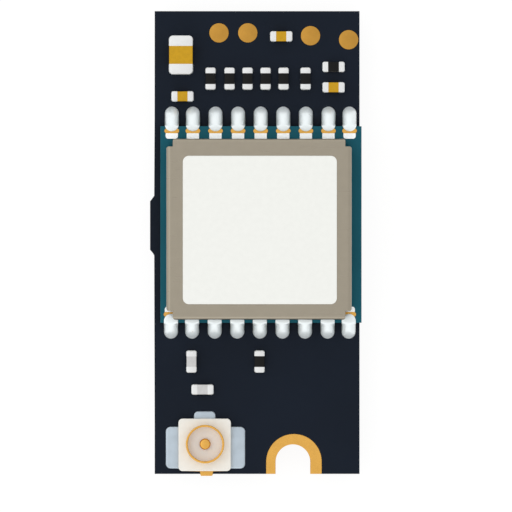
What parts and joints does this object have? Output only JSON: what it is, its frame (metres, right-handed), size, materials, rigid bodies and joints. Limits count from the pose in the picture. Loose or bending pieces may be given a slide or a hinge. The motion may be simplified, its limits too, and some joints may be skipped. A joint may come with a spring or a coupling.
{
  "type": "gps module",
  "caption": "Satellite receiver module on a plug-in carrier board, with a folded shield can, a coaxial antenna socket, a plated screw notch and a board-to-board plug underneath.",
  "frame": {"origin": "middle of the carrier board's outline, level with the plug's mating face", "axes": "+X across the board, +Y along it towards the plug's end, +Z out of the component side"},
  "size_m": [0.0105, 0.0231, 0.0047],
  "materials": {
    "dark_board": "dark solder mask over glass laminate, satin",
    "teal_board": "teal solder mask over glass laminate, satin",
    "gold": "gold plating over copper, bright",
    "test_gold": "gold plating, slightly dull",
    "tin": "bright tin, smooth",
    "solder": "bright solder, smooth",
    "socket_solder": "grey-blue solder, satin",
    "can_sheet": "taupe tinned sheet, satin",
    "label": "off-white label film, matt",
    "black_resin": "black moulding compound, matt",
    "ceramic_lid": "metal lid on a ceramic tray",
    "ochre_ceramic": "ochre ceramic with tinned end caps",
    "black_glass": "black glass over ceramic with tinned end caps",
    "grey_ceramic": "grey ceramic with tinned end caps",
    "ivory_plastic": "ivory liquid-crystal polymer, satin",
    "plug_plastic": "dark liquid-crystal polymer, satin"
  },
  "bodies": {
    "root": {"carrier_board": "dark_board", "notch_plating": "gold", "test_pad_1": "test_gold", "test_pad_2": "test_gold", "test_pad_3": "test_gold", "test_pad_4": "test_gold", "module_board": "teal_board", "castellations": "gold", "module_pads": "tin", "solder_joint_01": "solder", "solder_joint_02": "solder", "solder_joint_03": "solder", "solder_joint_04": "solder", "solder_joint_05": "solder", "solder_joint_06": "solder", "solder_joint_07": "solder", "solder_joint_08": "solder", "solder_joint_09": "solder", "solder_joint_10": "solder", "solder_joint_11": "solder", "solder_joint_12": "solder", "solder_joint_13": "solder", "solder_joint_14": "solder", "solder_joint_15": "solder", "solder_joint_16": "solder", "solder_joint_17": "solder", "solder_joint_18": "solder", "shield_can": "can_sheet", "module_label": "label", "receiver_chip": "black_resin", "reference_oscillator": "ceramic_lid", "clock_crystal": "ceramic_lid", "band_filter": "black_resin", "noise_amplifier": "black_resin", "module_capacitors": "ochre_ceramic", "bulk_capacitor": "ochre_ceramic", "capacitor_1": "ochre_ceramic", "capacitor_2": "ochre_ceramic", "capacitor_3": "ochre_ceramic", "inductor_1": "grey_ceramic", "inductor_2": "grey_ceramic", "chip_solder": "solder", "antenna_insulator": "ivory_plastic", "antenna_outer_contact": "gold", "antenna_centre_contact": "gold", "antenna_solder": "socket_solder", "plug_housing": "plug_plastic", "plug_contacts_upper": "gold", "plug_contacts_lower": "gold", "plug_hold_downs": "tin", "resistor_1": "black_glass", "resistor_2": "black_glass", "resistor_3": "black_glass", "resistor_4": "black_glass", "resistor_5": "black_glass", "resistor_6": "black_glass", "resistor_7": "black_glass", "resistor_8": "black_glass"}
  },
  "joints": []
}
